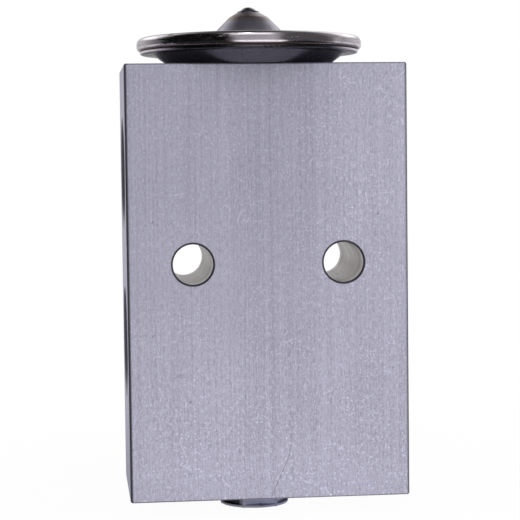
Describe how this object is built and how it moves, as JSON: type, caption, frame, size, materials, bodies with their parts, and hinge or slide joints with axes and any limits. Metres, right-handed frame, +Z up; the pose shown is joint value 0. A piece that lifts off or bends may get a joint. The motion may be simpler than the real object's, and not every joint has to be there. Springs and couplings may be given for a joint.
{
  "type": "thermostatic expansion valve",
  "caption": "Block-type expansion valve: a drilled aluminium body with threaded side ports, a round steel power head on top and a hexagon adjusting screw underneath.",
  "frame": {"origin": "under the middle of the block, level with the adjusting screw's outer face", "axes": "+Z up along the valve's axis to the power head, +X along the ports to the side with the liquid inlet, -Y out of the front face that the picture shows"},
  "size_m": [0.045, 0.0368, 0.0821],
  "materials": {
    "block": "drawn and sawn, fine brushed lines",
    "head_steel": "pressed stainless steel with a polished rim",
    "sheet_steel": "bright rolled sheet",
    "plug_steel": "dark, heat tinted by the weld",
    "rod_aluminium": "turned",
    "hard_steel": "ground and polished",
    "carrier_brass": "turned",
    "spring_steel": "drawn wire",
    "screw_steel": "turned and milled",
    "seal_rubber": "moulded"
  },
  "bodies": {
    "body": {"valve_block": "block", "head_cover": "head_steel", "head_cup": "head_steel", "diaphragm": "sheet_steel", "charge_plug": "plug_steel", "head_seal": "seal_rubber", "rod_seal": "seal_rubber", "seal_washer": "sheet_steel", "seal_retainer": "sheet_steel", "superheat_spring": "spring_steel"},
    "lift": {"thrust_disc": "sheet_steel", "sensing_rod": "rod_aluminium", "push_pin": "hard_steel", "valve_ball": "hard_steel", "ball_carrier": "carrier_brass", "damper_spring": "sheet_steel"},
    "screw_travel": {"adjuster_seal": "seal_rubber"},
    "screw": {"adjuster_screw": "screw_steel"}
  },
  "joints": [
    {"name": "valve_lift", "type": "slide", "parent": "body", "child": "lift", "axis": [0, 0, 1], "range_m": [-0.0005, 0], "stiffness_N_per_m": 8000, "springref_m": 0.0005, "deforming": ["superheat_spring", "diaphragm"]},
    {"name": "adjuster_travel", "type": "slide", "parent": "body", "child": "screw_travel", "axis": [0, 0, 1], "range_m": [-0.00075, 0.00075]},
    {"name": "adjuster_turn", "type": "hinge", "parent": "screw_travel", "child": "screw", "pos_m": [-0.0015, 0, 0], "axis": [0, 0, 1], "range_deg": [-360, 360]}
  ],
  "couplings": [
    {"joint": "adjuster_travel", "follows": "adjuster_turn", "m_per_rad": 0.00011937}
  ]
}
